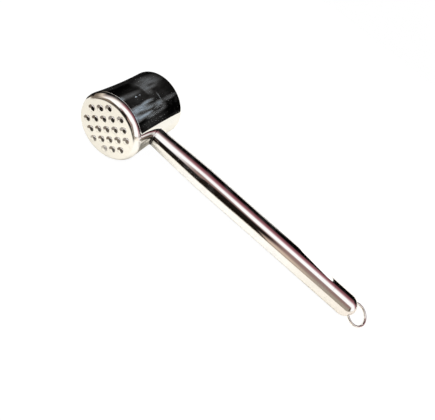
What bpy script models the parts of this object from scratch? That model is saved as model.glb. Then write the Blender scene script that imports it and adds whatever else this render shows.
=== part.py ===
"""Meat mallet: a stainless drum head with a studded striking plate, a tapered tube handle and a hanging ring.

The mallet lies as it is put down on a worktop: the drum's two edges and the handle's end touch z = 0.
+X runs along the handle, +Y along the drum from the studs to the plain face, +Z is up.
"""
import math

import bmesh
import bpy
from mathutils import Matrix, Vector

MM = 0.001

# Head: a drum that is a little narrower in its middle than at its two striking faces.
waist_radius = 24.2 * MM
rim_flare = 0.8 * MM             # how much wider the drum is at its two ends
rim_radius = waist_radius + rim_flare
head_length = 60.0 * MM
handle_station = 29.3 * MM       # from the stud plate's face to the handle's axis

# Stud plate, with a broad bevelled shoulder, and a spigot ring that sits in the drum's mouth.
plate_thickness = 5.4 * MM
shoulder_depth_share = 0.99      # of the plate's thickness
shoulder_front_radius = 3.1 * MM # the rounding next to the flat face
shoulder_side_radius = 3.6 * MM  # the rounding next to the drum
bevel_start = 52                 # degrees that the shoulder has turned where its bevel starts and ends
bevel_end = 62
spigot_length = 4.0 * MM
spigot_wall = 3.0 * MM

# Studs: low round buttons, each with a blunt four-sided point, in a square grid that has no corners.
stud_pitch = 7.43 * MM
stud_rows = 5
stud_grid_turn = math.radians(-40.9)
stud_height = 1.4 * MM
stud_radius = 2.7 * MM
point_tip_radius = 0.85 * MM     # from the middle of the blunt tip to its corners
point_slope = math.radians(32)   # of the point's four sides, from the plate's face
stud_root = 0.3 * MM             # how far each stud runs into the plate

# Drum shell: a deep-drawn cup whose closed end is the plain striking face.
shell_wall = 1.2 * MM
back_wall = 1.8 * MM
back_edge_radius = 1.6 * MM

# Weight in the drum, and the threaded pin that ties it to the handle.
weight_length = 34.0 * MM
weight_chamfer = 1.0 * MM
tie_radius = 3.0 * MM
tie_in_weight = 12.0 * MM
tie_in_plug = 11.0 * MM
tie_chamfer = 0.6 * MM

# Handle: a tube that widens from its neck and then stays round and even.
neck_radius = 7.35 * MM
handle_radius = 9.15 * MM
taper_end = 71.0 * MM            # distances along the handle count from the drum's axis
taper_bow_share = 0.25
tube_wall = 1.0 * MM
cap_seam = 200.0 * MM
plug_length = 22.0 * MM

# End cap: a hollow sleeve closed by half a sphere, pushed into the tube on its own spigot.
cap_sleeve = 18.0 * MM           # the cap's straight part
dome_middle = cap_seam + cap_sleeve
cap_wall = 0.9 * MM
cap_spigot_length = 8.0 * MM
cap_spigot_wall = 1.0 * MM

# Hanging ring, which goes in through one hole in the dome and out through the other.
ring_radius = 8.9 * MM           # to the middle of the wire
ring_wire_radius = 0.98 * MM
ring_reach = 6.6 * MM            # from the line through the two holes to the ring's middle
ring_clocking = math.radians(15.9)
ring_swing = math.radians(4.7)
ring_hole_radius = 1.85 * MM

seat_gap = 0.3 * MM              # between pieces that touch on the real mallet
cut_overrun = 3.0 * MM
weld_distance = 0.001 * MM

crisp_angle = math.radians(32)

# How finely the round pieces are stepped.
head_steps = 80
handle_steps = 48
small_steps = 24
stud_sides = 20
ring_steps = 48
wire_steps = 10
arc_steps = 5
shoulder_steps = 3
inner_arc_steps = 2
dome_steps = 9
inner_dome_steps = 5


def material(name, colour, metallic, roughness):
    made = bpy.data.materials.new(name)
    made.use_nodes = True
    shader = made.node_tree.nodes["Principled BSDF"]
    shader.inputs["Base Color"].default_value = (*colour, 1.0)
    shader.inputs["Metallic"].default_value = metallic
    shader.inputs["Roughness"].default_value = roughness
    made.diffuse_color = (*colour, 1.0)
    return made


def empty(name, parent=None, location=(0, 0, 0), rotation=(0, 0, 0)):
    made = bpy.data.objects.new(name, None)
    made.empty_display_size = rim_radius
    made.location = location
    made.rotation_euler = rotation
    made.parent = parent
    parts.objects.link(made)
    return made


def hide_cutter(cutter):
    cutter.display_type = "WIRE"
    cutter.hide_render = True


def arc(middle_radius, middle_z, radius, start, end, steps):
    """Points (radius, z) round a corner; angles in degrees from the outward direction, up the axis positive."""
    points = []
    for step in range(steps + 1):
        turn = math.radians(start + (end - start) * step / steps)
        across = radius * math.cos(turn) if abs(math.cos(turn)) > 1e-9 else 0.0
        points.append((middle_radius + across, middle_z + radius * math.sin(turn)))
    return points


def turned(name, outline, steps, parent, collection, look=None, closed=False):
    """A turned piece: the outline (radius, z) goes down its outer side and is swept round the local Z axis."""
    mesh = bpy.data.meshes.new(name)
    corners = [(radius, 0, z) for radius, z in outline]
    edges = [(i, i + 1) for i in range(len(corners) - 1)]
    if closed:
        edges.append((len(corners) - 1, 0))
    mesh.from_pydata(corners, edges, [])
    made = bpy.data.objects.new(name, mesh)
    collection.objects.link(made)
    made.parent = parent
    screw = made.modifiers.new("turn", "SCREW")
    screw.axis = "Z"
    screw.angle = math.tau
    screw.steps = steps
    screw.render_steps = steps
    screw.use_merge_vertices = True
    screw.merge_threshold = weld_distance
    screw.use_smooth_shade = True
    if look:
        mesh.materials.append(look)
    return made


def cut(target, cutter, operation="DIFFERENCE", crossing=False):
    """Cuts, joins or trims one piece with another; crossing is for a target whose own shapes may cross."""
    boolean = target.modifiers.new(cutter.name, "BOOLEAN")
    boolean.operation = operation
    boolean.solver = "EXACT"
    boolean.use_self = crossing
    boolean.object = cutter


def drum_radius(z):
    """The drum's outer radius at a distance from the stud plate's face: a shallow waist at mid length."""
    half = head_length / 2
    share = (z - half) / (half - back_edge_radius)
    return waist_radius + (rim_radius - waist_radius) * share ** 2


def tube_radius(s):
    """The handle's outer radius at a distance from the drum's axis."""
    start = waist_radius
    share = min(max((s - start) / (taper_end - start), 0.0), 1.0)
    eased = share + taper_bow_share * share * (1 - share)
    return neck_radius + (handle_radius - neck_radius) * eased


def spread(start, end, count):
    return [start + (end - start) * i / count for i in range(count + 1)]


# The scene starts empty.
for old in list(bpy.data.objects):
    bpy.data.objects.remove(old, do_unlink=True)

parts = bpy.data.collections.new("meat_mallet")
cutters = bpy.data.collections.new("cutters")
bpy.context.scene.collection.children.link(parts)
bpy.context.scene.collection.children.link(cutters)

# Where the mallet lies: the handle slopes down until the foot of its round end touches the worktop.
slope = math.asin((rim_radius - handle_radius) / dome_middle)

# The ring's far side, which sets where the middle of the whole mallet is.
hinge_turn = Matrix.Rotation(slope, 3, "Y") @ Matrix.Rotation(ring_clocking, 3, "X")
ring_turn = hinge_turn @ Matrix.Rotation(ring_swing, 3, "Y")
hole_offset = math.sqrt(ring_radius ** 2 - ring_reach ** 2)
middle_of_wall = handle_radius - cap_wall / 2
hinge_distance = dome_middle + math.sqrt(middle_of_wall ** 2 - hole_offset ** 2)
ring_middle = Matrix.Rotation(slope, 3, "Y") @ Vector((hinge_distance, 0, 0)) + ring_turn @ Vector((ring_reach, 0, 0))
ring_normal = ring_turn @ Vector((0, 0, 1))
far_x = ring_middle.x + ring_radius * math.sqrt(1 - ring_normal.x ** 2) + ring_wire_radius
near_x = -rim_radius
front_y = -handle_station - stud_height
back_y = head_length - handle_station

axes = empty(
    "mallet_axes",
    location=(-(far_x + near_x) / 2, -(front_y + back_y) / 2, rim_radius),
    rotation=(0, slope, 0),
)
head_axis = empty("head_axis", axes, (0, -handle_station, 0), (math.radians(-90), 0, 0))
handle_axis = empty("handle_axis", axes, (0, 0, 0), (0, math.radians(90), 0))
ring_hinge = empty("ring_hinge", axes, (hinge_distance, 0, 0), (ring_clocking, 0, 0))
ring_arm = empty("ring_arm", ring_hinge, (0, 0, 0), (0, ring_swing, 0))

polished_drum = material("polished_drum_steel", (0.66, 0.66, 0.67), 1.0, 0.10)
polished_plate = material("polished_plate_steel", (0.84, 0.82, 0.76), 1.0, 0.14)
polished_tube = material("polished_handle_steel", (0.76, 0.74, 0.73), 1.0, 0.08)
polished_cap = material("polished_cap_steel", (0.78, 0.76, 0.74), 1.0, 0.08)
bright_wire = material("bright_ring_wire", (0.82, 0.80, 0.76), 1.0, 0.15)
plain_steel = material("plain_weight_steel", (0.45, 0.45, 0.46), 1.0, 0.45)
turned_steel = material("turned_plug_steel", (0.55, 0.55, 0.56), 1.0, 0.35)
zinc_steel = material("zinc_tie_steel", (0.60, 0.60, 0.58), 1.0, 0.40)

# Drum shell. Its mouth faces the stud plate, and its closed end is the plain striking face.
mouth_z = plate_thickness + seat_gap
back_corner_z = head_length - back_edge_radius
back_corner_radius = drum_radius(back_corner_z)
inner_corner_radius = max(back_edge_radius - shell_wall, shell_wall / 2)
inner_corner_z = head_length - back_wall - inner_corner_radius
side = spread(back_corner_z, mouth_z, 8)
inner_side = spread(mouth_z, inner_corner_z, 4)
shell_outline = [(0.0, head_length)]
shell_outline += arc(back_corner_radius - back_edge_radius, back_corner_z, back_edge_radius, 90, 0, arc_steps)
shell_outline += [(drum_radius(z), z) for z in side[1:]]
shell_outline += [(drum_radius(z) - shell_wall, z) for z in inner_side]
shell_outline += arc(drum_radius(inner_corner_z) - shell_wall - inner_corner_radius, inner_corner_z,
                     inner_corner_radius, 0, 90, inner_arc_steps)[1:]
shell_outline += [(0.0, head_length - back_wall)]
drum_shell = turned("drum_shell", shell_outline, head_steps, head_axis, parts, polished_drum)

# Stud plate: a broad shoulder that carries the drum's side on to the flat face, and a spigot ring behind.
spigot_end = plate_thickness + spigot_length
spigot_radius = drum_radius(spigot_end) - shell_wall - seat_gap
plate_outline = [
    (0.0, plate_thickness),
    (spigot_radius - spigot_wall, plate_thickness),
    (spigot_radius - spigot_wall, spigot_end),
    (spigot_radius, spigot_end),
    (spigot_radius, plate_thickness),
    (drum_radius(plate_thickness), plate_thickness),
]
shoulder_depth = plate_thickness * shoulder_depth_share
bevel_from, bevel_to = math.radians(bevel_start), math.radians(bevel_end)
side_depth = shoulder_depth - shoulder_side_radius * math.cos(bevel_to)
front_depth = shoulder_front_radius * (1 - math.cos(bevel_from))
bevel_width = (side_depth - front_depth) / math.tan((bevel_from + bevel_to) / 2)
side_middle = drum_radius(shoulder_depth) - shoulder_side_radius
front_middle = side_middle + shoulder_side_radius * math.sin(bevel_to) - bevel_width
front_middle -= shoulder_front_radius * math.sin(bevel_from)
plate_outline += arc(side_middle, shoulder_depth, shoulder_side_radius, 0, bevel_end - 90, shoulder_steps)
plate_outline += arc(front_middle, shoulder_front_radius, shoulder_front_radius,
                     bevel_start - 90, -90, shoulder_steps + 1)
plate_outline += [(0.0, 0.0)]
stud_plate = turned("stud_plate", plate_outline, head_steps, head_axis, parts, polished_plate)

# The studs' places: the grid's corner places stay empty, which keeps the pattern round.
half_row = (stud_rows - 1) / 2
stud_places = []
for row in range(stud_rows):
    for column in range(stud_rows):
        if row in (0, stud_rows - 1) and column in (0, stud_rows - 1):
            continue
        place = Vector(((column - half_row) * stud_pitch, (row - half_row) * stud_pitch, 0))
        stud_places.append(Matrix.Rotation(stud_grid_turn, 3, "Z") @ place)


def stud_set(name, sides, turn, tip_radius, root_radius, top, root):
    """One capped cone at every stud's place, as one mesh; top and root are heights above the plate's face."""
    built = bmesh.new()
    for place in stud_places:
        middle = place - Vector((0, 0, (top + root) / 2))
        bmesh.ops.create_cone(
            built, cap_ends=True, segments=sides, radius1=tip_radius, radius2=root_radius, depth=top - root,
            matrix=Matrix.Translation(middle) @ Matrix.Rotation(turn, 4, "Z"),
        )
    mesh = bpy.data.meshes.new(name)
    built.to_mesh(mesh)
    built.free()
    made = bpy.data.objects.new(name, mesh)
    cutters.objects.link(made)
    made.parent = head_axis
    hide_cutter(made)
    return made


# Each stud is a broad four-sided point, square to the grid, trimmed round by the button's own side.
point_root_radius = point_tip_radius + (stud_height + stud_root) / math.tan(point_slope) * math.sqrt(2)
stud_points = stud_set(
    "stud_points", 4, stud_grid_turn + math.radians(45),
    point_tip_radius, point_root_radius, stud_height, -stud_root,
)
stud_buttons = stud_set(
    "stud_buttons", stud_sides, stud_grid_turn,
    stud_radius, stud_radius, stud_height + stud_root, -2 * stud_root,
)
cut(stud_points, stud_buttons, "INTERSECT", crossing=True)
cut(stud_plate, stud_points, "UNION")

# Weight, centred on the handle so that the mallet's balance stays on the handle's line.
weight_radius = waist_radius - shell_wall - seat_gap
weight_front = handle_station - weight_length / 2
weight_back = handle_station + weight_length / 2
weight_outline = [
    (0.0, weight_back),
    (weight_radius - weight_chamfer, weight_back),
    (weight_radius, weight_back - weight_chamfer),
    (weight_radius, weight_front + weight_chamfer),
    (weight_radius - weight_chamfer, weight_front),
    (0.0, weight_front),
]
head_weight = turned("head_weight", weight_outline, handle_steps, head_axis, parts, plain_steel)

# The tie pin's bore goes through the shell's wall and on into the weight.
tie_start = weight_radius - tie_in_weight
bore_outline = [
    (0.0, waist_radius + cut_overrun),
    (tie_radius + seat_gap, waist_radius + cut_overrun),
    (tie_radius + seat_gap, tie_start - seat_gap),
    (0.0, tie_start - seat_gap),
]
tie_bore = turned("tie_bore", bore_outline, small_steps, handle_axis, cutters)
hide_cutter(tie_bore)
cut(drum_shell, tie_bore)
cut(head_weight, tie_bore)

# The handle's root is cut to the drum's curve, a seat gap clear of it.
saddle_reach = neck_radius + cut_overrun
saddle_outline = [(0.0, handle_station + saddle_reach)]
saddle_outline += [
    (drum_radius(z) + seat_gap, z)
    for z in spread(handle_station + saddle_reach, handle_station - saddle_reach, 8)
]
saddle_outline += [(0.0, handle_station - saddle_reach)]
drum_saddle = turned("drum_saddle", saddle_outline, head_steps, head_axis, cutters)
hide_cutter(drum_saddle)

# Handle tube.
root = waist_radius - cut_overrun
tube_end = cap_seam - seat_gap
tube_steps = [tube_end] + spread(taper_end, root, 7)
tube_outline = [(tube_radius(s), s) for s in tube_steps]
tube_outline += [(tube_radius(s) - tube_wall, s) for s in reversed(tube_steps)]
handle_tube = turned("handle_tube", tube_outline, handle_steps, handle_axis, parts, polished_tube, closed=True)
cut(handle_tube, drum_saddle)

# Plug in the neck, with the tie pin's blind bore.
plug_end = waist_radius + plug_length
plug_bore_end = waist_radius + tie_in_plug + seat_gap
plug_outline = [(0.0, plug_end)]
plug_outline += [(tube_radius(s) - tube_wall - seat_gap, s) for s in spread(plug_end, root, 5)]
plug_outline += [
    (tie_radius + seat_gap, root),
    (tie_radius + seat_gap, plug_bore_end),
    (0.0, plug_bore_end),
]
neck_plug = turned("neck_plug", plug_outline, small_steps, handle_axis, parts, turned_steel)
cut(neck_plug, drum_saddle)

# Tie pin between the weight and the plug.
tie_end = waist_radius + tie_in_plug
tie_outline = [
    (0.0, tie_end),
    (tie_radius - tie_chamfer, tie_end),
    (tie_radius, tie_end - tie_chamfer),
    (tie_radius, tie_start + tie_chamfer),
    (tie_radius - tie_chamfer, tie_start),
    (0.0, tie_start),
]
tie_pin = turned("tie_pin", tie_outline, small_steps, handle_axis, parts, zinc_steel)

# End cap: the sleeve is flush with the tube, and its spigot goes into the tube's bore.
cap_bore = handle_radius - cap_wall
cap_spigot_radius = handle_radius - tube_wall - seat_gap
cap_spigot_bore = cap_spigot_radius - cap_spigot_wall
cap_outline = arc(0.0, dome_middle, handle_radius, 90, 0, dome_steps)
cap_outline += [
    (handle_radius, cap_seam),
    (cap_spigot_radius, cap_seam),
    (cap_spigot_radius, cap_seam - cap_spigot_length),
    (cap_spigot_bore, cap_seam - cap_spigot_length),
    (cap_spigot_bore, cap_seam + cap_wall),
    (cap_bore, cap_seam + 2 * cap_wall),
]
cap_outline += arc(0.0, dome_middle, cap_bore, 0, 90, inner_dome_steps)
end_cap = turned("end_cap", cap_outline, handle_steps, handle_axis, parts, polished_cap)

# The two holes are square to the dome's wall, where the ring's own curve crosses it.
hole_lean = math.atan2(hole_offset, hinge_distance - dome_middle)
for side_name, direction in (("left", 1), ("right", -1)):
    hole = turned(
        "ring_hole_" + side_name,
        [(0.0, cut_overrun), (ring_hole_radius, cut_overrun),
         (ring_hole_radius, -cut_overrun), (0.0, -cut_overrun)],
        small_steps, ring_hinge, cutters,
    )
    hole.location = (0, direction * hole_offset, 0)
    hole.rotation_euler = (0, math.radians(90), direction * hole_lean)
    hide_cutter(hole)
    cut(end_cap, hole)

# Hanging ring, carried by the hinge empty on the line through its two holes.
bpy.ops.mesh.primitive_torus_add(
    major_radius=ring_radius, minor_radius=ring_wire_radius,
    major_segments=ring_steps, minor_segments=wire_steps,
)
hang_ring = bpy.context.object
hang_ring.name = "hang_ring"
hang_ring.data.name = "hang_ring"
for collection in list(hang_ring.users_collection):
    collection.objects.unlink(hang_ring)
parts.objects.link(hang_ring)
hang_ring.parent = ring_arm
hang_ring.location = (ring_reach, 0, 0)
hang_ring.data.materials.append(bright_wire)

# The finished solids keep their cuts, shaded smooth with crisp edges where they turn sharply.
graph = bpy.context.evaluated_depsgraph_get()
finished = {}
for piece in parts.objects:
    if piece.type == "MESH":
        finished[piece] = bpy.data.meshes.new_from_object(piece.evaluated_get(graph))
for piece, mesh in finished.items():
    name = piece.data.name
    piece.modifiers.clear()
    old_mesh = piece.data
    piece.data = mesh
    bpy.data.meshes.remove(old_mesh)
    mesh.name = name
    mesh.shade_smooth()
    mesh.set_sharp_from_angle(angle=crisp_angle)
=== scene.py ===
# %% [markdown]
# # A polished steel meat mallet
# The CAD model of the mallet is loaded first and stays fixed. Everything made here rides on it: smoother
# steel pieces for what shows, the finishes, the studio that the steel mirrors, and the camera.
#
# Polished steel shows little of itself and much of its surroundings. So half of this lesson is about
# shapes, which have to be smooth and exact, and the other half is about what they mirror.

# %% Load the frame
import math
import bmesh
import bpy
from mathutils import Matrix, Vector
from mathutils.geometry import delaunay_2d_cdt


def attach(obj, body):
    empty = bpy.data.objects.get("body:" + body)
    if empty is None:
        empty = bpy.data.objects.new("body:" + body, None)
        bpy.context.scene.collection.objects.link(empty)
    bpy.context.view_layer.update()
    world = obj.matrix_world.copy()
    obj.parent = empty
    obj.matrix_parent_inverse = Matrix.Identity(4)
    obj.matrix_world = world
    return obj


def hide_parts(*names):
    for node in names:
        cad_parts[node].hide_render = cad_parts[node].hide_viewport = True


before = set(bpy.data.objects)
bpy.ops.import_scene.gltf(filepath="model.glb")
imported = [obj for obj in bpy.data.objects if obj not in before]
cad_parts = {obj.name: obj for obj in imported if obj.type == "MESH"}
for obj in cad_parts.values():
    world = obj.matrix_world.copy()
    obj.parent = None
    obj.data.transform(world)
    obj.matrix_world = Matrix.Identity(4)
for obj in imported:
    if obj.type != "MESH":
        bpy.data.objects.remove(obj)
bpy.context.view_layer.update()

MM = 0.001
print("pieces in the frame:", sorted(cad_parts))

# %% [markdown]
# ## Where things are
# The mallet lies on a worktop. The drum stands on its two rims and the handle slopes down until its domed
# end touches. Three places carry all the pieces: the drum's axis, the handle's axis and the ring's arm.
# Each is a matrix, so a piece is drawn round its own Z axis and then put in place in one step.

# %% Sizes of the steel
rim_radius, waist_radius, head_length = 25.0 * MM, 24.2 * MM, 60.0 * MM
head_middle_x, handle_station = -107.517 * MM, 29.3 * MM
plate_thickness, shell_wall, back_wall, back_edge = 5.4 * MM, 1.2 * MM, 1.8 * MM, 1.6 * MM
neck_radius, grip_radius, taper_end, tube_wall = 7.35 * MM, 9.15 * MM, 71.0 * MM, 1.0 * MM
cap_seam, dome_middle, cap_wall = 200.0 * MM, 218.0 * MM, 0.9 * MM
ring_radius, wire_radius, ring_reach = 8.9 * MM, 0.97 * MM, 6.6 * MM
ring_clocking, ring_droop = 15.9, 4.7
fit_gap = 0.3 * MM

slope = math.asin((rim_radius - grip_radius) / dome_middle)
hole_offset = math.sqrt(ring_radius ** 2 - ring_reach ** 2)
hinge_distance = dome_middle + math.sqrt((grip_radius - cap_wall / 2) ** 2 - hole_offset ** 2)
print("handle slopes down by", round(math.degrees(slope), 2), "degrees")


# %% Places of the drum, the handle and the ring
def turn_by(degrees, axis):
    return Matrix.Rotation(math.radians(degrees), 4, axis)


def move_by(x, y, z):
    return Matrix.Translation((x, y, z))


mallet_place = move_by(head_middle_x, 0, rim_radius) @ Matrix.Rotation(slope, 4, "Y")
head_place = mallet_place @ move_by(0, -handle_station, 0) @ turn_by(-90, "X")
grip_place = mallet_place @ turn_by(90, "Y")
hinge_place = mallet_place @ move_by(hinge_distance, 0, 0) @ turn_by(ring_clocking, "X")
ring_place = hinge_place @ turn_by(ring_droop, "Y") @ move_by(ring_reach, 0, 0)
print("ring's middle is", [round(c / MM, 1) for c in ring_place.translation], "mm from the origin")


# %% How wide the drum and the handle are
def drum_radius(z):
    """The drum is a little narrower half way between its two faces."""
    half = head_length / 2
    return waist_radius + (rim_radius - waist_radius) * ((z - half) / (half - back_edge)) ** 2


def handle_radius(s):
    """The handle widens from the neck in a slight curve, then stays even."""
    share = min(max((s - waist_radius) / (taper_end - waist_radius), 0.0), 1.0)
    return neck_radius + (grip_radius - neck_radius) * (share + 0.25 * share * (1 - share))


print("drum's waist is", round(2 * drum_radius(head_length / 2) / MM, 1), "mm across")

# %% [markdown]
# ## Turned steel
# Almost every piece of the mallet was turned, drawn or spun, so its shape is an outline swept round an
# axis. A Screw or Spin modifier could sweep it, but a few lines of mesh code give full say over where the
# rings of points lie. A mirror finish shows every facet, so the outlines here are far finer than the CAD
# solids', and edges are left crisp only where the surface really turns a corner.

# %% Outlines and a lathe
def arc(middle, radius, start, end, steps):
    """Points on a circle's arc; angles run from the outward direction towards +z."""
    turns = [math.radians(start + (end - start) * i / steps) for i in range(steps + 1)]
    return [(middle[0] + radius * math.cos(t), middle[1] + radius * math.sin(t)) for t in turns]


def spread(start, end, count):
    """Evenly spread values, both ends included."""
    return [start + (end - start) * i / count for i in range(count + 1)]


def band(a, b, steps):
    """Faces between two rings of points; a and b are the numbers of their first points."""
    return [(a + i, a + (i + 1) % steps, b + (i + 1) % steps, b + i) for i in range(steps)]


def lathe(outline, steps, closed=False):
    """Vertices and faces of an outline of (radius, z) swept round Z."""
    vertices, rings = [], []
    for radius, z in outline:
        around = 1 if radius < 1e-7 else steps
        rings.append([len(vertices) + i for i in range(around)])
        vertices += [(radius * math.cos(math.tau * i / around), radius * math.sin(math.tau * i / around), z)
                     for i in range(around)]
    faces = []
    for upper, lower in list(zip(rings, rings[1:])) + ([(rings[-1], rings[0])] if closed else []):
        for i in range(steps):
            j = (i + 1) % steps
            corners = (upper[i % len(upper)], upper[j % len(upper)], lower[j % len(lower)], lower[i % len(lower)])
            faces.append(tuple(dict.fromkeys(corners)))
    return vertices, [face for face in faces if len(face) > 2]


print("a quarter arc of 4 steps has", len(arc((0, 0), 1, 0, 90, 4)), "points")


# %% From points to a finished piece
def finish_piece(name, shape, place, crease=30, flat_parts=False):
    """A mesh from (vertices, faces), shaded smooth with crisp edges; flat parts keep a truly flat shade."""
    mesh = bpy.data.meshes.new(name)
    mesh.from_pydata(shape[0], [], shape[1])
    built = bmesh.new()
    built.from_mesh(mesh)
    bmesh.ops.remove_doubles(built, verts=built.verts, dist=1e-7)
    bmesh.ops.recalc_face_normals(built, faces=built.faces)
    built.to_mesh(mesh)
    mesh.shade_smooth()
    mesh.set_sharp_from_angle(angle=math.radians(crease))
    if flat_parts:
        for edge in built.edges:
            flat = [abs(face.normal.z) > 0.99999 for face in edge.link_faces]
            if any(flat) and not all(flat):
                mesh.edges[edge.index].use_edge_sharp = True
    built.free()
    mesh.transform(place)
    piece = bpy.data.objects.new(name, mesh)
    bpy.context.scene.collection.objects.link(piece)
    print(name, "has", len(mesh.polygons), "faces")
    return piece


# %% A place for each piece
def seat(piece, body, node, finish):
    """Puts a finished piece on its body in place of its CAD node."""
    piece.data.materials.clear()
    piece.data.materials.append(finish)
    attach(piece, body)
    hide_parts(node)
    print(piece.name, "rides on the", body, "in place of", node)


# %% Drilling
def drill(piece, holes):
    """Cuts round holes; each hole is (matrix, radius, half length)."""
    for place, radius, reach in holes:
        tool = finish_piece("drill", lathe([(0, reach), (radius, reach), (radius, -reach), (0, -reach)], 48), place)
        cut = piece.modifiers.new("drill", "BOOLEAN")
        cut.solver, cut.object = "EXACT", tool
        bpy.context.view_layer.update()
        drilled = bpy.data.meshes.new_from_object(piece.evaluated_get(bpy.context.evaluated_depsgraph_get()))
        piece.modifiers.clear()
        piece.data = drilled
        bpy.data.objects.remove(tool)
    piece.data.shade_smooth()
    piece.data.set_sharp_from_angle(angle=math.radians(30))
    print(piece.name, "drilled:", len(holes), "hole" + "s" * (len(holes) > 1))


# %% [markdown]
# ## Recipes for shaders
# A shader is a small calculation. Wiring it node by node hides the idea, so one class wraps a socket and
# lets Python's own signs add the Math nodes: `1 - mask` is a node, and so is `mask * 0.3`. A second class
# is the tree to write in, with one method that makes any other node.

# %% A socket that takes part in sums
class Wire:
    def __init__(self, recipe, socket):
        self.recipe, self.socket = recipe, socket

    def __add__(self, other):
        return self.recipe.maths("ADD", self, other)

    def __sub__(self, other):
        return self.recipe.maths("SUBTRACT", self, other)

    def __rsub__(self, other):
        return self.recipe.maths("SUBTRACT", other, self)

    def __mul__(self, other):
        return self.recipe.maths("MULTIPLY", self, other)

    __radd__ = __add__
    __rmul__ = __mul__

    def soft(self, low, high):
        """0 below low, 1 above high, and an S curve between."""
        ends = {"Value": self, "From Min": low, "From Max": high}
        return self.recipe.node("ShaderNodeMapRange", {"interpolation_type": "SMOOTHSTEP"}, ends)

    def between(self, low, high, edge):
        """1 from low to high and 0 outside, with soft edges of a given width inside the ends."""
        return self.soft(low, low + edge) * (1 - self.soft(high - edge, high))


print("a Wire can be added, subtracted and multiplied")

# %% A node tree to write in
FACTOR, FIRST, SECOND, RESULT = 0, 6, 7, 2      # the places of a Mix node's colour sockets


class Recipe:
    def __init__(self, tree):
        self.tree = tree

    def node(self, kind, settings=None, sockets=None, out=0):
        """Any node: its settings come first, then values or wires for its sockets."""
        made = self.tree.nodes.new(kind)
        for key, value in (settings or {}).items():
            if key == "stops":
                for i, (place, colour) in enumerate(value):
                    stop = made.color_ramp.elements[i] if i < 2 else made.color_ramp.elements.new(place)
                    stop.position, stop.color = place, (*colour, 1.0)
            else:
                setattr(made, key, value)
        for key, value in (sockets or {}).items():
            if isinstance(value, Wire):
                self.tree.links.new(value.socket, made.inputs[key])
            else:
                made.inputs[key].default_value = value
        return Wire(self, made.outputs[out])

    def maths(self, operation, first, second=0.0):
        return self.node("ShaderNodeMath", {"operation": operation}, {0: first, 1: second})

    def length(self, first, second):
        """How long the slanting side is, from the two straight ones."""
        return self.maths("SQRT", first * first + second * second)

    def parts(self, vector):
        """The X, Y and Z of a vector, as three wires."""
        split = self.node("ShaderNodeSeparateXYZ", {}, {0: vector})
        return [Wire(self, socket) for socket in split.socket.node.outputs]

    def blend(self, share, first, second):
        """A colour between two, as far along as share says."""
        first, second = [c if isinstance(c, Wire) else (*c, 1.0) for c in (first, second)]
        ends = {FACTOR: share, FIRST: first, SECOND: second}
        return self.node("ShaderNodeMix", {"data_type": "RGBA"}, ends, RESULT)

    def feed(self, wire, name, socket):
        """Leads a wire into a node that the tree already has."""
        self.tree.links.new(wire.socket, self.tree.nodes[name].inputs[socket])


# %% Colours read off a screen
def tone(red, green, blue):
    """A colour as it is read off a screen, 0 to 255, turned into light."""
    return tuple((c / 255 / 12.92) if c < 11 else ((c / 255 + 0.055) / 1.055) ** 2.4 for c in (red, green, blue))


print("a mid grey of 128 is", round(tone(128, 128, 128)[0], 3), "of full light")

# %% [markdown]
# ## Marks on the steel
# No used mallet is a clean mirror. Wiping and handling leave milky smears on the drum's side. Two more marks
# are painted shade: low down beside the handle the drum is darkened in streaks where it mirrors the shaded
# table, and the weld at the handle's root is a little dark all round, with painted shade in the crease on its
# lower side. A painted image could hold such marks, but it would fix their size and need unwrapping. Here each
# mark is a sum: where a point lies in the piece's own axes says how strong the mark is there.

# %% Where a point lies on its piece
DEGREES = 180 / math.pi


def own_axes(recipe, place):
    """Coordinates in a piece's own axes, so that marks run round it or along it."""
    return recipe.node("ShaderNodeMapping", {"vector_type": "TEXTURE"}, {
        "Vector": recipe.node("ShaderNodeTexCoord", out="Object"),
        "Location": place.translation, "Rotation": place.to_euler()})


def round_and_along(recipe, spot):
    """Degrees round a piece's axis, and millimetres along it."""
    x, y, z = recipe.parts(spot)
    return recipe.maths("ARCTAN2", y, x) * DEGREES, z * (1 / MM)


def noise(recipe, spot, scale, detail, roughness=0.5):
    """Noise with a scale for each axis, in cells per metre: a low one draws it out into streaks."""
    drawn_out = recipe.node("ShaderNodeMapping", {}, {"Vector": spot, "Scale": scale})
    settings = {"Vector": drawn_out, "Scale": 1.0, "Detail": detail, "Roughness": roughness}
    return recipe.node("ShaderNodeTexNoise", {}, settings)


print("one radian is", round(DEGREES, 2), "degrees")

# %% Smears on the drum
# Each soft spot: degrees round the drum, mm from the studded end, half its width in degrees and half its
# length in mm, and how milky it is. The big ones are wiping marks, the thin ones scratches.
SMEARS = [
    (-94, 13, 7, 20, 0.075), (-68, 10, 7, 17, 0.36), (-55, 8, 7, 15, 0.30), (-50, 21, 5, 8, 0.11),
    (-62, 5, 7, 8, 0.18), (-106, 43, 22, 19, 0.10), (-92, 34, 16, 6, 0.10), (-62, 35, 6, 6, 0.18),
    (-62, 47, 5, 16, 0.10), (-56, 38, 8, 6, 0.07), (-87, 18.6, 1.6, 1.6, 0.5), (-87, 23, 1.4, 1.4, 0.22),
    (-40, 24, 12, 22, 0.03), (-97, 31, 22, 1.4, 0.05), (-70, 39, 14, 0.9, 0.12), (-80, 30, 40, 40, 0.016),
    (-72, 25, 4, 10, 0.24), (-63, 22, 6, 13, 0.17), (-55, 20, 4, 9, 0.26), (-57, 31, 3.5, 5, 0.14),
    (-50, 30, 5, 16, 0.08), (-93, 6, 6, 4, 0.12), (-91, 41, 4, 7, 0.08)]


def smears(recipe, spot):
    """Soft round spots, broken up by streaky noise."""
    angle, station = round_and_along(recipe, spot)
    total = 0.0
    for at_angle, at_station, wide, long, milky in SMEARS:
        across, down = (angle - at_angle) * (1 / wide), (station - at_station) * (1 / long)
        soft_spot = recipe.maths("MAXIMUM", 1 - across * across - down * down, 0.0)
        total = soft_spot * soft_spot * milky + total
    uneven = noise(recipe, spot, (420, 420, 60), 4.0, 0.65)
    return total * (uneven.soft(0.25, 0.75) * 0.9 + 0.5)


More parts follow.
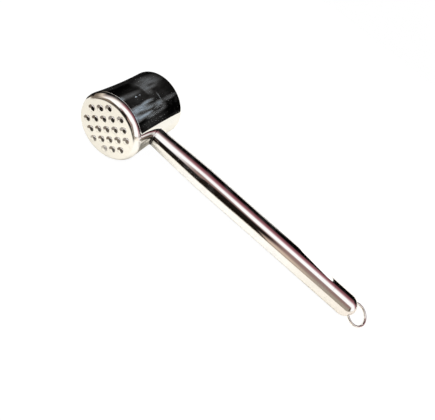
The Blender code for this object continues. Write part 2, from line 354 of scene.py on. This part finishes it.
print("smears and scratches on the drum:", len(SMEARS))


# %% Painted shade low on the drum and at the weld
foot_shade_round, foot_shade_fade = (-28, 50), (17, 25)       # degrees round the drum, and mm from the studded end


def painted_foot_shade(recipe, spot):
    """Painted shade low on the drum, between the studded face and the handle: the drum is darkened in streaks where it
    mirrors the shaded table.
    """
    angle, station = round_and_along(recipe, spot)
    beside_handle = angle.between(*foot_shade_round, 9)
    near_studs = 1 - station.soft(*foot_shade_fade)
    streaky = noise(recipe, spot, (700, 700, 40), 2.0).soft(0.3, 0.7) * 0.6 + 0.25
    return beside_handle * near_studs * streaky


def dark_weld_and_painted_shade(recipe, spot):
    """The bead where the handle meets the drum is a little dark all round, and has painted shade in the crease on its
    lower side, where it is much darker.
    """
    x, _, z = recipe.parts(spot)
    from_drum = (recipe.length(x, z) - waist_radius) * (1 / MM)
    lower_side = (x * (1 / MM)).soft(-4.8, -3.4)
    return (1 - from_drum.soft(1.0, 2.0)) * (lower_side * 0.88 + 0.12)


print("the foot stain ends", foot_shade_fade[1], "mm from the studded end")

# %% [markdown]
# ## Polished steel
# Polished steel has almost no colour of its own. It is a mirror with a slightly grey or warm tint, plus
# what handling leaves on it: patches where fingers dulled the polish, hair-fine scratches, and the faint
# lines of the polishing wheel. The patches raise the roughness and take away a little of the metal's
# mirror, so they show as a grey bloom where the steel mirrors something dark. One function makes every
# steel, because the drum, the tube and the wire differ only in numbers and in their marks.

# %% How much each mark does
dull_from, dull_full, hair_from, hair_full = 0.50, 0.72, 0.66, 0.72     # where a noise counts as a mark
hair_share, tint_gain = 0.6, 4          # a scratch beside a patch, and how fast a mark takes the bloom's tint
mark_roughness, wheel_roughness = 0.3, 0.02
relief_strength, relief_depth = 0.05, 0.02 * MM
print("the polishing lines are up to", relief_depth / MM, "mm deep")


# %% The steel recipe
def steel(name, place, tint, roughness, wheel, hair, patch, bloom, bloom_tint=(0.5, 0.5, 0.5),
          marks=None, painted_shade=None, painted_shade_tint=(0.05, 0.045, 0.04)):
    """A mirror finish; wheel and hair are the noise scales of its polishing lines and scratches."""
    material = bpy.data.materials.new(name)
    material.use_nodes = True
    recipe = Recipe(material.node_tree)
    spot = own_axes(recipe, place)
    dull = noise(recipe, spot, (1 / patch,) * 3, 3.0).soft(dull_from, dull_full)
    scratches = noise(recipe, spot, hair, 2.0)
    wheel_lines = noise(recipe, spot, wheel, 1.0)
    mask = dull * bloom + scratches.soft(hair_from, hair_full) * (bloom * hair_share)
    if marks:
        mask = mask + marks(recipe, spot)
    base = recipe.blend(mask * tint_gain, tint, bloom_tint)
    # Painted shade, where a piece has it: a darker base colour where it mirrors shade or lies in a crease.
    if painted_shade:
        base = recipe.blend(painted_shade(recipe, spot), base, painted_shade_tint)
    height = wheel_lines * 0.5 + scratches
    relief = {"Strength": relief_strength, "Distance": relief_depth, "Height": height}
    recipe.feed(base, "Principled BSDF", "Base Color")
    recipe.feed(1 - mask, "Principled BSDF", "Metallic")
    recipe.feed(mask * mark_roughness + wheel_lines * wheel_roughness + roughness, "Principled BSDF", "Roughness")
    recipe.feed(recipe.node("ShaderNodeBump", {}, relief), "Principled BSDF", "Normal")
    print(name, "has", len(recipe.tree.nodes), "nodes")
    return material


# %% Five steels
# The drum's painted shade lies low beside the handle, and the tube's lies in the crease at the weld.
drum_steel = steel("drum_steel", head_place, tint=(0.87, 0.85, 0.815), roughness=0.03, wheel=(5, 5, 900),
                   hair=(90, 90, 2500), patch=11 * MM, bloom=0.012, bloom_tint=(0.68, 0.79, 0.90),
                   marks=smears, painted_shade=painted_foot_shade, painted_shade_tint=(0.10, 0.09, 0.07))
plate_steel = steel("plate_steel", head_place, tint=(0.913, 0.894, 0.873), roughness=0.10, wheel=(60, 60, 60),
                    hair=(400, 400, 400), patch=6 * MM, bloom=0.04, bloom_tint=(0.75, 0.72, 0.66))
tube_steel = steel("tube_steel", grip_place, tint=(0.895, 0.88, 0.875), roughness=0.03, wheel=(5, 5, 700),
                   hair=(60, 60, 800), patch=12 * MM, bloom=0.03, painted_shade=dark_weld_and_painted_shade)
cap_steel = steel("cap_steel", grip_place, tint=(0.88, 0.87, 0.86), roughness=0.035, wheel=(5, 5, 700),
                  hair=(60, 60, 800), patch=12 * MM, bloom=0.03)
wire_steel = steel("wire_steel", ring_place, tint=(0.82, 0.80, 0.77), roughness=0.08, wheel=(300, 300, 300),
                   hair=(500, 500, 500), patch=6 * MM, bloom=0.04)

# %% [markdown]
# ## The drum
# The drum is a deep-drawn cup. Its closed end is the plain striking face, with a rounded edge all round.
# A cylinder with bevelled rims would be quicker, but its side would be straight, and a mirror shows the
# slight waist at once. So its outline is worked out: from the middle of the plain face out over the edge,
# along the waisted side to the mouth, and back inside, because a piece that stands for a CAD solid should
# have a wall itself. A drill then opens the place where the handle's pin passes through.

# %% Drum shell
mouth, mouth_edge = plate_thickness + 0.15 * MM, 0.25 * MM
pin_hole_radius, pin_hole_reach = 3.3 * MM, 4 * MM
side_end, floor_z, inner_edge = head_length - back_edge, head_length - back_wall, back_edge - 1.0 * MM
corner_z = floor_z - inner_edge

drum_outline = [(0.0, head_length)]
drum_outline += arc((drum_radius(side_end) - back_edge, side_end), back_edge, 90, 0, 12)
drum_outline += [(drum_radius(z), z) for z in spread(side_end, mouth + 0.3 * MM, 40)[1:]]
drum_outline += arc((drum_radius(mouth) - mouth_edge, mouth + mouth_edge), mouth_edge, 0, -90, 4)
drum_outline += [(drum_radius(z) - shell_wall, z) for z in spread(mouth, corner_z, 10)]
drum_outline += arc((drum_radius(floor_z) - shell_wall - inner_edge, corner_z), inner_edge, 0, 90, 4)
drum_outline += [(0.0, floor_z)]
drum = finish_piece("drum", lathe(drum_outline, 192), head_place, flat_parts=True)
drill(drum, [(grip_place @ move_by(0, 0, waist_radius), pin_hole_radius, pin_hole_reach)])
seat(drum, "mallet", "drum_shell", drum_steel)

# %% [markdown]
# ## The studded plate
# The plate is pressed into the drum's mouth. Its rim is a broad rounded shoulder that carries the drum's
# line on to the flat face. The studs on it were pressed or milled as low four-sided points, each trimmed
# round. Setting 21 loose studs on a plate would leave a seam round each that a mirror shows. So the face
# is one sheet: a flat field with round windows, and in each window a stud drawn as a height over its own
# little round grid.

# %% Where the studs stand
stud_height, stud_radius, stud_pitch, stud_rows = 1.4 * MM, 2.75 * MM, 7.43 * MM, 5
grid_turn = math.radians(-40.9)


def on_grid(x, y):
    """A place in the studs' own grid, which is turned on the face."""
    return (x * math.cos(grid_turn) - y * math.sin(grid_turn), x * math.sin(grid_turn) + y * math.cos(grid_turn))


last_row = stud_rows - 1
stud_middles = [on_grid((column - last_row / 2) * stud_pitch, (row - last_row / 2) * stud_pitch)
                for row in range(stud_rows) for column in range(stud_rows)
                if not (row in (0, last_row) and column in (0, last_row))]
print("studs on the plate:", len(stud_middles))

# %% The shape of one stud
blunt_tip, point_slope, side_steepness, edge_softness = 0.75 * MM, math.radians(32), 4, 0.10 * MM
stud_steps = 32
ring_shares = (1, .985, .97, .955, .94, .925, .9, .86, .82, .76, .7, .62, .53, .43, .33, .23, .14, .06)


def stud_shape(x, y):
    """The stud's height at a place on its grid: a low blunt four-sided point, trimmed round by a steep side."""
    side = (stud_radius - math.hypot(x, y)) * side_steepness
    point = stud_height - max(max(abs(x), abs(y)) - blunt_tip, 0.0) * math.tan(point_slope)
    rounding = max(edge_softness - abs(side - point), 0.0) ** 2 / (4 * edge_softness)
    return max(min(side, point) - rounding, 0.0)


def one_stud(middle, start):
    """Points and faces of a stud, from its foot to its tip; start is the number of its first point."""
    vertices, faces = [], []
    for share in ring_shares:
        for i in range(stud_steps):
            angle = math.tau * i / stud_steps
            x, y = stud_radius * share * math.cos(angle), stud_radius * share * math.sin(angle)
            turned = on_grid(x, y)
            height = 0.0 if share == 1 else stud_shape(x, y)
            vertices.append((middle[0] + turned[0], middle[1] + turned[1], -height))
    vertices.append((*middle, -stud_height))
    for k in range(len(ring_shares) - 1):
        faces += band(start + k * stud_steps, start + (k + 1) * stud_steps, stud_steps)
    tip = start + len(vertices) - 1
    last = tip - stud_steps
    faces += [(last + i, last + (i + 1) % stud_steps, tip) for i in range(stud_steps)]
    return vertices, faces


print("half way out a stud is", round(stud_shape(stud_radius / 2, 0) / MM, 2), "mm high")

# %% The face with its studs
face_steps = 192


def circle(middle, radius, steps, turn=0.0):
    return [(middle[0] + radius * math.cos(turn + math.tau * i / steps),
             middle[1] + radius * math.sin(turn + math.tau * i / steps)) for i in range(steps)]


def studded_face(radius):
    """The flat field, filled round its windows, and the studs in them."""
    loops = [circle((0, 0), radius, face_steps)]
    loops += [circle(middle, stud_radius, stud_steps, grid_turn) for middle in stud_middles]
    points = [Vector(p) for loop in loops for p in loop]
    edges, start = [], 0
    for loop in loops:
        edges += [(start + i, start + (i + 1) % len(loop)) for i in range(len(loop))]
        start += len(loop)
    corners, _, triangles = delaunay_2d_cdt(points, edges, [], 1, 1e-9)[:3]
    vertices = [(p.x, p.y, 0.0) for p in corners]
    faces = []
    for triangle in triangles:
        middle = sum((corners[i] for i in triangle), Vector((0, 0))) / len(triangle)
        if all((middle - Vector(m)).length > stud_radius * 0.96 for m in stud_middles):
            faces.append(tuple(triangle))
    for stud_middle in stud_middles:
        stud_points, stud_faces = one_stud(stud_middle, len(vertices))
        vertices += stud_points
        faces += stud_faces
    return vertices, faces


# %% Sizes of the rim
# The shoulder turns from the face's edge in three arcs: (from, to) in degrees, radius, and how many steps.
shoulder = [(0, 52, 3.1 * MM, 14), (52, 62, 11.0 * MM, 8), (62, 90, 5.5 * MM, 10)]
shoulder_width = sum(radius * (math.sin(math.radians(end)) - math.sin(math.radians(start)))
                     for start, end, radius, _ in shoulder)
flat_radius = drum_radius(plate_thickness) - shoulder_width
spigot_end, spigot_wall = plate_thickness + 4 * MM, 3 * MM
spigot_radius = drum_radius(spigot_end) - shell_wall - fit_gap
print("shoulder is", round(shoulder_width / MM, 2), "mm wide")

# %% The rim's outline
rim_outline = [(flat_radius, 0.0)]
for start, end, radius, steps in shoulder:
    last = rim_outline[-1]
    middle = (last[0] - radius * math.sin(math.radians(start)), last[1] + radius * math.cos(math.radians(start)))
    rim_outline += arc(middle, radius, start - 90, end - 90, steps)[1:]
print("shoulder: flat out to", round(flat_radius / MM, 2), "mm, depth", round(rim_outline[-1][1] / MM, 2), "mm")
rim_outline += [(rim_outline[-1][0], plate_thickness), (spigot_radius, plate_thickness), (spigot_radius, spigot_end),
                (spigot_radius - spigot_wall, spigot_end), (spigot_radius - spigot_wall, plate_thickness),
                (0.0, plate_thickness)]

# %% Stud plate
rim_vertices, rim_faces = lathe(rim_outline, face_steps)
face_vertices, face_faces = studded_face(flat_radius)
face_faces = [tuple(i + len(rim_vertices) for i in face) for face in face_faces]
plate = finish_piece("stud_face", (rim_vertices + face_vertices, rim_faces + face_faces), head_place, 33, True)
seat(plate, "mallet", "stud_plate", plate_steel)

# %% [markdown]
# ## The handle
# The handle is a tapered tube whose root is cut to the drum's curve and welded there, which leaves a small
# uneven bead. A boolean could cut the root, but it would leave slivers that a mirror shows. Instead each
# point of the root ring is worked out from the drum's radius at that point, and the rings above it
# straighten out step by step until they are plain circles. The bead is a quarter round that the first
# rings follow, and it is broadest low on the side of the studs, as hand welding left it.

# %% Root and weld
root_gap, weld_middle, weld_change = 0.05 * MM, 0.7, 0.35


def root_at(angle, radius):
    """How far from the drum's axis the tube of this radius meets the drum, seen at an angle round the tube."""
    skin = drum_radius(handle_station + radius * math.sin(angle))
    return math.sqrt(skin ** 2 - (radius * math.cos(angle)) ** 2) + root_gap


def weld_size(angle):
    """The bead's size at an angle round the tube."""
    return (weld_middle + weld_change * math.cos(angle + math.pi / 4)) * MM


print("weld bead is", round(weld_size(-math.pi / 4) / MM, 2), "mm at its broadest")

# %% The handle's rings of points
straight_from, inside_from, seam_edge = 34 * MM, 50 * MM, 0.03 * MM
taper_past = taper_end + 7 * MM
weld_shares = (0, .04, .1, .2, .32, .46, .62, .8, 1)


def handle_rows():
    """Each ring of the tube: which side it is on, its share of the way out of the root, or its station."""
    stations = spread(straight_from, taper_past, 26)[1:] + [100 * MM, 150 * MM, cap_seam - 2 * seam_edge]
    rows = [("weld", share, None) for share in weld_shares]
    rows += [("out", share, None) for share in spread(0, 1, 10)[2:]]
    rows += [("out", None, station) for station in stations]
    rows += [("lip", None, cap_seam - seam_edge)]
    rows += [("in", None, station) for station in (cap_seam - seam_edge, taper_past, inside_from)]
    return rows + [("in", share, None) for share in spread(1, 0, 6)]


print("rings along the handle, out and back:", len(handle_rows()))


# %% Handle tube
def handle_shape(steps=128):
    rows = handle_rows()
    vertices = []
    for side, share, station in rows:
        for i in range(steps):
            angle = math.tau * i / steps
            thin = {"weld": 0.0, "out": 0.0, "lip": seam_edge, "in": tube_wall}[side]
            if side == "weld":
                bead = weld_size(angle)
                thin = math.sqrt(bead ** 2 - (bead * (1 - share)) ** 2) - bead
                at = root_at(angle, neck_radius - thin) + bead * share
            elif station is None:
                root = root_at(angle, neck_radius - thin)
                at = root + (straight_from - root) * share
            else:
                at = station
            radius = handle_radius(at) - thin
            vertices.append((radius * math.cos(angle), radius * math.sin(angle), at))
    faces = []
    for k in range(len(rows)):
        faces += band(k * steps, (k + 1) % len(rows) * steps, steps)
    return vertices, faces


handle = finish_piece("handle", handle_shape(), grip_place)
seat(handle, "mallet", "handle_tube", tube_steel)

# %% [markdown]
# ## The domed end
# The end is a sleeve closed by half a sphere. Two holes in the dome let the ring through. A cut into a
# smooth dome leaves uneven faces beside it, which a mirror would show, so the dome's shading is then set
# one by one: every corner on the sphere points straight out from the sphere's middle.

# %% End cap with its two holes
cap_bore, cap_spigot = grip_radius - cap_wall, grip_radius - tube_wall - fit_gap
spigot_start, spigot_bore = cap_seam - 8 * MM, cap_spigot - 1 * MM
ring_hole_radius, ring_hole_reach = 1.85 * MM, 3 * MM

cap_outline = [(0.0, dome_middle + grip_radius)]
cap_outline += arc((0, dome_middle), grip_radius, 90, 0, 40)[1:]
cap_outline += [(grip_radius, cap_seam + seam_edge), (grip_radius - seam_edge, cap_seam), (cap_spigot, cap_seam)]
cap_outline += [(cap_spigot, spigot_start), (spigot_bore, spigot_start)]
cap_outline += [(spigot_bore, cap_seam + cap_wall), (cap_bore, cap_seam + 2 * cap_wall)]
cap_outline += arc((0, dome_middle), cap_bore, 0, 90, 16)[:-1] + [(0.0, dome_middle + cap_bore)]
end_dome = finish_piece("end_dome", lathe(cap_outline, 128), grip_place)

lean = math.degrees(math.atan2(hole_offset, hinge_distance - dome_middle))
drill(end_dome, [(hinge_place @ move_by(0, side * hole_offset, 0) @ turn_by(side * lean, "Z") @ turn_by(90, "Y"),
                  ring_hole_radius, ring_hole_reach) for side in (1, -1)])

# %% A smooth shade round the holes
dome_mesh, to_grip = end_dome.data, grip_place.inverted()
shades = []
for polygon in dome_mesh.polygons:
    for corner in polygon.vertices:
        at = to_grip @ dome_mesh.vertices[corner].co
        out = grip_place.to_3x3() @ Vector((at.x, at.y, max(at.z - dome_middle, 0.0)))
        on_skin = abs(out.length - grip_radius) < 0.01 * MM and polygon.normal.dot(out.normalized()) > 0.9
        shades.append(out.normalized() if on_skin and at.z > cap_seam + 0.02 * MM else Vector((0, 0, 0)))
dome_mesh.normals_split_custom_set(shades)
seat(end_dome, "mallet", "end_cap", cap_steel)
print("corners shaded as a sphere:", sum(shade.length > 0 for shade in shades), "of", len(shades))

# %% [markdown]
# ## The hanging ring
# A ring of drawn wire. It is the one piece that moves: it rides on its own body, so it swings in the two
# holes. Blender has a torus, but the lathe gives the same ring from one small circle beside the axis.

# %% Ring
ring = finish_piece("ring", lathe(circle((ring_radius, 0), wire_radius, 28), 144, closed=True), ring_place, 60)
seat(ring, "ring", "hang_ring", wire_steel)

# %% [markdown]
# ## Hidden pieces
# The weight, the pin and the plug can't be seen, and their CAD solids are already right. They only get a
# finish: plain turned steel, with the fine rings that a lathe tool leaves.

# %% Finishes for the hidden steel
def turned_steel(name, tint, roughness):
    material = bpy.data.materials.new(name)
    material.use_nodes = True
    recipe = Recipe(material.node_tree)
    spot = recipe.node("ShaderNodeTexCoord", out="Object")
    lines = {"Vector": spot, "Scale": 800.0, "Distortion": 1.0}
    rings = recipe.node("ShaderNodeTexWave", {"wave_type": "RINGS"}, lines, "Fac")
    patches = recipe.node("ShaderNodeTexNoise", {}, {"Vector": spot, "Scale": 90.0, "Detail": 3.0})
    material.node_tree.nodes["Principled BSDF"].inputs["Metallic"].default_value = 1.0
    recipe.feed(recipe.blend(patches, tint, tuple(c * 0.8 for c in tint)), "Principled BSDF", "Base Color")
    recipe.feed(patches * 0.15 + rings * 0.05 + roughness, "Principled BSDF", "Roughness")
    return material


for node, tint, roughness in (("head_weight", (0.45, 0.45, 0.46), 0.35), ("neck_plug", (0.55, 0.55, 0.56), 0.3),
                              ("tie_pin", (0.60, 0.60, 0.58), 0.35)):
    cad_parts[node].data.materials.clear()
    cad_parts[node].data.materials.append(turned_steel(node + "_steel", tint, roughness))
    print(node, "finished")

# %% [markdown]
# ## The studio that the steel mirrors
# A mirror looks like its surroundings, so the surroundings are the real finish of this mallet. They could
# be built as a room, but most of it would only ever show as a thin line on a rod. Painting by direction is
# simpler: the world's shader turns each direction into an azimuth and a height, and colours it. Overhead
# is a bright softbox, whose far edge fades through maroon to dark.

# %% Directions, and the softbox overhead
world = bpy.data.worlds.new("studio")
bpy.context.scene.world = world
world.use_nodes = True
studio = Recipe(world.node_tree)
x, y, z = studio.parts(studio.node("ShaderNodeTexCoord", out="Generated"))
azimuth = studio.maths("ARCTAN2", y, x) * DEGREES
height = studio.maths("ARCSINE", z) * DEGREES

# The edge runs across the ceiling at a slant. The fringe gives its colours by the distance past the edge.
past_edge = y - x * 0.25 + 0.07
maroon_fringe = [(-0.15, (255, 255, 255)), (-0.10, (244, 236, 237)), (-0.02, (220, 198, 200)), (0.06, (188, 151, 155)),
                 (0.14, (158, 113, 119)), (0.22, (142, 90, 98)), (0.32, (132, 83, 89)), (0.41, (115, 72, 78)),
                 (0.50, (84, 50, 55)), (0.57, (50, 27, 31)), (0.64, (26, 12, 14)), (0.71, (5, 3, 3))]
grey_fringe = [(-0.05, (254, 254, 253)), (0.0, (250, 248, 246)), (0.05, (242, 237, 233)), (0.12, (218, 208, 203)),
               (0.19, (186, 175, 171)), (0.26, (150, 140, 137)), (0.33, (130, 121, 118)), (0.40, (110, 101, 99)),
               (0.47, (84, 77, 75)), (0.54, (60, 54, 53)), (0.62, (42, 37, 36)), (0.71, (24, 21, 20))]
ramp_start = 0.2        # a ramp has no places below 0, so all of them are moved up by this


def fringe_colours(fringe):
    stops = [(place + ramp_start, tone(*colour)) for place, colour in fringe]
    return studio.node("ShaderNodeValToRGB", {"stops": stops}, {0: past_edge + ramp_start})


view = studio.blend(x.soft(-0.33, -0.05), fringe_colours(grey_fringe), fringe_colours(maroon_fringe))
print("colours along the softbox's edge:", len(maroon_fringe), "and", len(grey_fringe))

# %% [markdown]
# Round the mallet stand the darker things, each painted over the last. Their places were read back from
# the steel: a point of the handle or the drum mirrors one known direction, so its colour in the photograph
# is the colour of the room in that direction. Angles are in degrees, with azimuth 0 along the handle.

# %% Behind the mallet
room_top = height - azimuth.between(48, 82, 8) * 12
dark_room = azimuth.between(20, 178, 14) * (1 - room_top.soft(34, 46))
view = studio.blend(dark_room, view, tone(2, 2, 2))
table_glare = azimuth.between(74, 124, 8) * (1 - height.soft(2, 17))
view = studio.blend(table_glare, view, tone(236, 234, 231))
print("with the dark room and the table's glare:", len(world.node_tree.nodes), "nodes")

# %% To the left
left_side = (1 - azimuth.soft(-152, -138) + azimuth.soft(158, 172)) * (1 - height.soft(18, 32))
left_wall = studio.blend(height.soft(4, 24), tone(115, 103, 90), tone(215, 202, 186))
view = studio.blend(left_side, view, left_wall)
print("with the wall to the left:", len(world.node_tree.nodes), "nodes")

# %% In front, towards the camera
front_top = height + (azimuth + 58).soft(0, 22) * 16 - azimuth.between(-108, -69, 12) * 6
front_side = azimuth.between(-108, -24, 12) * (1 - front_top.soft(45, 60))
wall_foot = studio.blend(azimuth.soft(-74, -66), tone(204, 182, 164), tone(160, 150, 137))
front_wall = studio.blend(height.soft(8, 34), wall_foot, tone(142, 116, 110))
view = studio.blend(front_side, view, front_wall)
doorway = azimuth.between(-50, -34, 6) * (1 - height.soft(20, 30))
view = studio.blend(doorway, view, tone(78, 64, 56))

# A dark stand leans a little, so its right edge moves with the height.
stand_right = azimuth - height * 0.35
stand_top = height - (azimuth + 96).soft(0, 12) * 11 + azimuth.between(-104, -88, 8) * 3
stand = (1 - stand_right.soft(-86, -80)) * azimuth.soft(-150, -138) * (1 - stand_top.soft(28, 40))
stand_colour = studio.blend(azimuth.soft(-126, -110), tone(125, 112, 96), tone(27, 22, 19))
view = studio.blend(stand, view, stand_colour)
print("the view takes", len(world.node_tree.nodes), "nodes")

# %% [markdown]
# ## Who sees what
# Only glossy light sees the painted view. The camera and light that passes through see plain white, and
# matt surfaces are lit by plain white light at half strength, so any other finish keeps its own colour.

# %% World
VIEW_STRENGTH, MATT_STRENGTH = 1.14, 0.5


def ray(recipe, kind):
    """1 where light is looked at in this way, otherwise 0."""
    return recipe.node("ShaderNodeLightPath", out=kind)


mirror_light = studio.node("ShaderNodeBackground", {}, {"Color": view, "Strength": VIEW_STRENGTH})
seen_straight = ray(studio, "Is Camera Ray") + ray(studio, "Is Transmission Ray")
plain_level = seen_straight * (1 - MATT_STRENGTH) + MATT_STRENGTH
plain_light = studio.node("ShaderNodeBackground", {}, {"Color": (1, 1, 1, 1), "Strength": plain_level})
both = studio.node("ShaderNodeMixShader", {}, {0: ray(studio, "Is Glossy Ray"), 1: plain_light, 2: mirror_light})
studio.feed(both, "World Output", "Surface")
print("studio has", len(world.node_tree.nodes), "nodes")

# %% [markdown]
# ## The table, for the camera and for the steel
# The table keeps a light shadow under the mallet. To the camera it is nearly as white as the background,
# so it has no visible edge. The steel sees more of the table than the camera does: near the mallet it is
# creamy paper, and farther off it falls into dusk. A direction can't say that, because the table is close and
# looks different from the head and from the ring. So a second sheet, a card that only the steel sees, lies
# just above the table. That light and shade, and the drum's shadow, are painted into its colour by place:
# across runs along the mallet, and deep away from the camera.

# %% Flat faces for the stage
def flat_face(name, corners, finish):
    """One flat face, and the recipe for its finish."""
    mesh = bpy.data.meshes.new(name)
    mesh.from_pydata(corners, [], [tuple(range(len(corners)))])
    made = bpy.data.objects.new(name, mesh)
    bpy.context.scene.collection.objects.link(made)
    material = bpy.data.materials.new(name + "_" + finish)
    material.use_nodes = True
    mesh.materials.append(material)
    print(name, "has", len(corners), "corners")
    return made, Recipe(material.node_tree)


def across_and_deep(recipe):
    """Places along the mallet and away from the camera, in metres from the middle of the table."""
    return recipe.parts(recipe.node("ShaderNodeTexCoord", out="Object"))[:2]


# %% A level sheet that glows a little
def level_sheet(name, half, z, camera_share, mirror_share, glow, sheet_colour):
    """A level sheet under the mallet, partly glowing to the camera or to the steel."""
    corners = [(-half, -half, 0), (half, -half, 0), (half, half, 0), (-half, half, 0)]
    made, recipe = flat_face(name, corners, "sheet_colour")
    made.location.z = z
    colour = sheet_colour(recipe)
    matt = recipe.node("ShaderNodeBsdfDiffuse", {}, {"Color": colour})
    glowing = recipe.node("ShaderNodeEmission", {}, {"Color": colour, "Strength": glow})
    seen = (ray(recipe, "Is Camera Ray") + ray(recipe, "Is Transmission Ray")) * camera_share
    seen = seen + ray(recipe, "Is Glossy Ray") * mirror_share
    recipe.feed(recipe.node("ShaderNodeMixShader", {}, {0: seen, 1: matt, 2: glowing}), "Material Output", "Surface")
    print(name, "is", 2 * half, "m wide")
    return made


# %% Table
def plain_paper(recipe):
    return (0.9, 0.9, 0.9, 1)


table_top = level_sheet("table", 0.9, -0.10 * MM, camera_share=0.90, mirror_share=0.90, glow=1.18, sheet_colour=plain_paper)
table_top.visible_glossy = False

# %% Colours of the card, with painted shade and shadow
drum_foot = -107.5 * MM


def cream_with_painted_shade(recipe, across, deep):
    """Creamy white, warmer to the right and in front, with painted shade to the left and a painted shadow round the
    drum's foot.
    """
    cream = recipe.blend(across.between(-0.085, 0.08, 0.04), (0.94, 0.91, 0.815), (0.98, 0.965, 0.91))
    cream = recipe.blend(across.soft(0.06, 0.16), cream, (0.92, 0.83, 0.74))
    cream = recipe.blend((deep * -1).soft(0.03, 0.08) * 0.5, cream, (0.88, 0.83, 0.72))
    # Painted shade to the left, and a painted shadow round the drum's foot.
    painted_left_shade = 1 - across.soft(-0.155, -0.10)
    painted_drum_shadow = 1 - recipe.length(across - drum_foot, deep).soft(0.015, 0.05)
    return recipe.blend(painted_left_shade * 0.12 + painted_drum_shadow * 0.25, cream, (0, 0, 0))


def painted_dusk(recipe, across, behind):
    """Painted shade on the table's far parts: grey in front, paler to the right, and black behind the mallet."""
    dusk = recipe.blend(across.soft(-0.02, 0.09), tone(50, 45, 41), tone(160, 148, 134))
    dusk = recipe.blend(across.soft(-0.28, -0.18), tone(115, 103, 90), dusk)
    return recipe.blend(behind, dusk, (0.008, 0.008, 0.008))


print("the drum's foot shades the card", round(drum_foot / MM, 1), "mm across")


# %% Card
def card_painted_light(recipe):
    """Painted light and shade: cream near the mallet turns into painted dusk with the distance from a line under the
    handle.
    """
    across, deep = across_and_deep(recipe)
    behind = deep.soft(-0.015, 0.04)
    past_left = recipe.maths("MAXIMUM", (across + 0.16) * -0.6, (across + 0.12) * -6 * behind)
    past_left = recipe.maths("MAXIMUM", past_left, 0.0)
    stretch = 1 - behind * (0.7 - across.soft(0.02, 0.09) * 0.7)
    distance = recipe.length(past_left, deep * stretch) + across.between(-0.085, 0.02, 0.03) * 0.02
    cream, dusk = cream_with_painted_shade(recipe, across, deep), painted_dusk(recipe, across, behind)
    # Painted dusk: the table's light falls off with the distance.
    return recipe.blend(distance.soft(0.082, 0.155), cream, dusk)


card = level_sheet("card", 1.5, -0.05 * MM, camera_share=0.0, mirror_share=0.12, glow=1.08, sheet_colour=card_painted_light)
card.visible_camera = card.visible_diffuse = card.visible_shadow = False

# %% [markdown]
# ## Two boards beside the mallet
# Two more close things show in the steel. A white board stands behind the handle's end: above the seam the
# handle's upper edge mirrors it and melts into the background, and then the dark line starts again sharply.
# A dark board stands in front, and draws the dark line along the handle's lower side and round the face's
# rim. Only the steel sees them.

# %% Boards
def white_paint(recipe):
    return (1.3, 1.29, 1.25, 1)


def dark_paint(recipe):
    """Nearly black, but grey at the far left."""
    across, _ = across_and_deep(recipe)
    return recipe.blend((across * (1 / MM)).soft(-232, -188), tone(112, 99, 87), (0.009, 0.006, 0.004))


def board(name, deep, outline, paint):
    """An upright board that glows to the steel; its place and its outline of (across, up) are in mm."""
    made, recipe = flat_face(name, [(across * MM, deep * MM, up * MM) for across, up in outline], "paint")
    glowing = recipe.node("ShaderNodeEmission", {}, {"Color": paint(recipe), "Strength": 1.0})
    recipe.feed(glowing, "Material Output", "Surface")
    made.visible_camera = made.visible_diffuse = made.visible_shadow = False


board("white_board", 60, [(66, 0), (76, 33), (130, 96), (133, 88), (117.8, 43.7), (108, 0)], white_paint)
board("dark_board", -400, [(-260, 0), (113, 0), (90, 150), (-260, 150)], dark_paint)

# %% [markdown]
# ## Lamp
# The shadow on the table is faint and has no sharp edge. A sun lamp or a small one would draw it too
# hard, so one big area lamp stands overhead and to the front. The steel doesn't see it, because the
# softbox that it mirrors is painted already.

# %% Soft lamp
lamp_size, lamp_watts, lamp_spot = 0.7, 7.9, (-0.03, -0.33, 0.9)

lamp_data = bpy.data.lights.new("softbox", "AREA")
lamp_data.size, lamp_data.energy = lamp_size, lamp_watts
lamp = bpy.data.objects.new("softbox", lamp_data)
bpy.context.scene.collection.objects.link(lamp)
lamp.location = lamp_spot
lamp.rotation_euler = (Vector((0, 0, 0)) - lamp.location).to_track_quat("-Z", "Y").to_euler()
lamp.visible_glossy = False
print("lamp of", lamp_watts, "W stands", round(lamp.location.length, 2), "m away")

# %% [markdown]
# ## Camera
# The camera's place was worked out from the photograph: the two rims, the stud grid, the handle's sides
# and the ring only line up for one place. It is given here in the mallet's own axes, with the three
# directions that are right, up and back in the picture.

# %% Camera
picture_width, sensor_width, focal_pixels = 435, 36.0, 350
picture_middle, lens_middle = (217.5, 210.0), (218.192, 209.626)
from_drum = move_by(85.14 * MM, -202.15 * MM, 175.15 * MM)
right, up, back = (0.7494, 0.4307, 0.5029), (-0.661, 0.5313, 0.53), (-0.0389, -0.7296, 0.6828)

lens = bpy.data.cameras.new("camera")
lens.sensor_width = sensor_width
lens.lens = sensor_width * focal_pixels / picture_width
lens.shift_x = (picture_middle[0] - lens_middle[0]) / picture_width
lens.shift_y = (lens_middle[1] - picture_middle[1]) / picture_width
camera = bpy.data.objects.new("camera", lens)
bpy.context.scene.collection.objects.link(camera)
camera.matrix_world = mallet_place @ from_drum @ Matrix((right, up, back)).transposed().to_4x4()
bpy.context.scene.camera = camera
bpy.context.scene.view_settings.view_transform = "Standard"
print("camera stands", round(camera.matrix_world.translation.z, 3), "m above the table")
